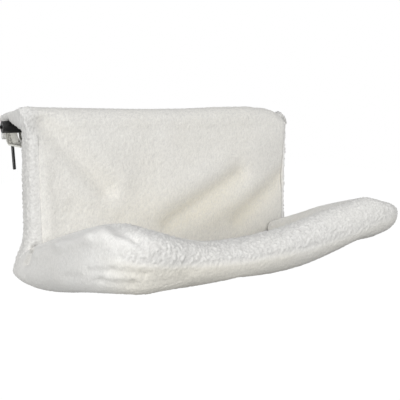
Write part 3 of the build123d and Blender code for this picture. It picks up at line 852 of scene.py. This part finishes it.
def newMaterial(name, group, values, bump, shader):
    material = bpy.data.materials.new(name)
    material.use_nodes = True
    tree = material.node_tree
    tree.nodes.clear()
    finish = node(tree, "ShaderNodeGroup", node_tree=group)
    for key, value in values.items():
        finish.inputs[key].default_value = value
    bsdf = node(tree, "ShaderNodeBsdfPrincipled", shader)
    raised = node(tree, "ShaderNodeBump", {"Strength": bump[0], "Distance": bump[1] * mm})
    out = tree.nodes.new("ShaderNodeOutputMaterial")
    tree.links.new(finish.outputs["Height"], raised.inputs["Height"])
    tree.links.new(raised.outputs["Normal"], bsdf.inputs["Normal"])
    tree.links.new(finish.outputs["Colour"], bsdf.inputs["Base Color"])
    if "Roughness" in finish.outputs:
        tree.links.new(finish.outputs["Roughness"], bsdf.inputs["Roughness"])
    tree.links.new(bsdf.outputs["BSDF"], out.inputs["Surface"])
    return material


pileFinish, weaveFinish, coatFinish = pileGroup(), weaveGroup(), coatGroup()
softShader = {"Roughness": 0.95, "Sheen Weight": 0.25, "Sheen Roughness": 0.6, "Specular IOR Level": 0.15}
finishes = {
    # The darker pile colour is painted shade in the creases, and the warm tint is painted shade where the
    # warmth values are high
    "plush": newMaterial("offWhitePlush", pileFinish,
                         {"Tip": (0.80, 0.797, 0.785, 1), "Crease shade": (0.67, 0.66, 0.64, 1),
                          "Tint": (0.80, 0.765, 0.675, 1), "Tint share": 0.3, "Fibre scale": 420.0},
                         (0.5, 0.6), softShader),
    "lining": newMaterial("creamLining", weaveFinish,
                          {"Thread": (0.84, 0.83, 0.77, 1), "Gap": (0.74, 0.72, 0.65, 1)}, (0.6, 0.5),
                          {"Roughness": 0.9, "Specular IOR Level": 0.2}),
    "closure_strip": newMaterial("closureTape", weaveFinish,
                                 {"Thread": (0.78, 0.78, 0.76, 1), "Gap": (0.55, 0.55, 0.53, 1),
                                  "Scale": 600.0},
                                 (0.8, 0.4), {"Roughness": 0.8}),
    "black_tube": newMaterial("blackPowderCoat", coatFinish,
                              {"Base": (0.012, 0.012, 0.012, 1), "Rub": (0.03, 0.03, 0.03, 1), "Rough": 0.42},
                              (0.25, 0.1), {"Specular IOR Level": 0.5}),
    "black_plug": newMaterial("blackPlug", coatFinish,
                              {"Base": (0.016, 0.016, 0.016, 1), "Rub": (0.035, 0.035, 0.035, 1),
                               "Grain": 1400.0, "Rough": 0.5}, (0.3, 0.1), {"Specular IOR Level": 0.45}),
    "black_screw": newMaterial("blackOxide", coatFinish,
                               {"Base": (0.03, 0.03, 0.03, 1), "Rub": (0.12, 0.12, 0.12, 1), "Rough": 0.38},
                               (0.2, 0.05), {"Metallic": 1.0}),
    "bright_steel": newMaterial("zincPlate", coatFinish,
                                {"Base": (0.55, 0.55, 0.54, 1), "Rub": (0.68, 0.68, 0.68, 1), "Rough": 0.35},
                                (0.15, 0.05), {"Metallic": 1.0}),
    "nylon": newMaterial("naturalNylon", coatFinish,
                         {"Base": (0.75, 0.72, 0.64, 1), "Rub": (0.8, 0.78, 0.72, 1), "Rough": 0.5},
                         (0.2, 0.05), {"Specular IOR Level": 0.4}),
}


def dress(piece, finish):
    piece.data.materials.clear()
    piece.data.materials.append(finishes[finish])


for piece in (cover, stripLeft, stripRight, edge, bed, belly):
    dress(piece, "plush")
dress(liningPiece, "lining")
dress(rearPiece, "lining")
for piece in (hookTape, loopTape):
    dress(piece, "closure_strip")
slotOf = {row["node"]: row["material_slot"] for row in frame["record"]["subparts"]}
for name, part in frame["nodes"].items():
    for index in range(max(1, len(part.material_slots))):
        if not part.material_slots:
            part.data.materials.append(finishes[slotOf[name]])
        part.material_slots[index].material = finishes[slotOf[name]]
print("materials set")

# Camera: the photograph's place and lens
cameraData = bpy.data.cameras.new("photoCamera")
cameraData.sensor_width = view["sensor"]
cameraData.lens = view["focal"] / view["image"] * view["sensor"]
camera = bpy.data.objects.new("photoCamera", cameraData)
camera.location = view["place"]
camera.rotation_euler = (radians(90 - view["pitch"]), 0, radians(view["azimuth"]))
scene.collection.objects.link(camera)
scene.camera = camera


# Lamps: broad soft ones in front, and an even sky
lampAim = (0, -0.15, -0.05)


def addLamp(name, place, size, power):
    data = bpy.data.lights.new(name, "AREA")
    data.size, data.energy = size, power
    lamp = bpy.data.objects.new(name, data)
    lamp.location = place
    lamp.rotation_euler = (Vector(lampAim) - Vector(place)).to_track_quat("-Z", "Y").to_euler()
    scene.collection.objects.link(lamp)


addLamp("keyLamp", (-2.1, -1.3, 0.3), 1.3, 31)
addLamp("fillLamp", (0.2, -2.1, 0.85), 1.4, 20)
sky = {"strength": 0.42, "colour": (0.985, 0.99, 1.0, 1)}


# Join two shaders by a share and send them to the surface
def joinShaders(tree, share, first, second, outKind):
    mix = tree.nodes.new("ShaderNodeMixShader")
    out = tree.nodes.new(outKind)
    tree.links.new(share, mix.inputs[0])
    tree.links.new(first.outputs[0], mix.inputs[1])
    tree.links.new(second.outputs[0], mix.inputs[2])
    tree.links.new(mix.outputs[0], out.inputs["Surface"])


# 1 where the camera or a mirror looks at a surface
def lookedAt(tree):
    path = tree.nodes.new("ShaderNodeLightPath")
    return path, math(tree, "MAXIMUM", path.outputs["Is Camera Ray"], path.outputs["Is Glossy Ray"])


world = bpy.data.worlds.new("studio")
scene.world = world
world.use_nodes = True
tree = world.node_tree
tree.nodes.clear()
path, shown = lookedAt(tree)
shown = math(tree, "MAXIMUM", shown, path.outputs["Is Transmission Ray"])
even = node(tree, "ShaderNodeBackground", {"Color": sky["colour"], "Strength": sky["strength"]})
white = node(tree, "ShaderNodeBackground", {"Color": (1, 1, 1, 1), "Strength": 1.0})
joinShaders(tree, shown, even, white, "ShaderNodeOutputWorld")

# Floor: pale, well below the hanging part
floorPlan = {"height": -0.55, "half": 4.0, "whiteShare": 0.93, "matt": (0.27, 0.27, 0.26, 1), "glow": 1.09}
bm = bmesh.new()
bmesh.ops.create_grid(bm, x_segments=1, y_segments=1, size=floorPlan["half"])
bmesh.ops.translate(bm, vec=(0, 0, floorPlan["height"]), verts=bm.verts)
floorMesh = bpy.data.meshes.new("floor")
bm.to_mesh(floorMesh)
bm.free()
floor = bpy.data.objects.new("floor", floorMesh)
scene.collection.objects.link(floor)
floorMaterial = bpy.data.materials.new("paleFloor")
floorMaterial.use_nodes = True
tree = floorMaterial.node_tree
tree.nodes.clear()
matt = node(tree, "ShaderNodeBsdfDiffuse", {"Color": floorPlan["matt"]})
glow = node(tree, "ShaderNodeEmission", {"Color": (1, 1, 1, 1), "Strength": floorPlan["glow"]})
whiteShare = math(tree, "MULTIPLY", lookedAt(tree)[1], floorPlan["whiteShare"])
joinShaders(tree, whiteShare, matt, glow, "ShaderNodeOutputMaterial")
floorMesh.materials.append(floorMaterial)
scene.view_settings.view_transform = "Standard"
print("camera, lamps and floor set")
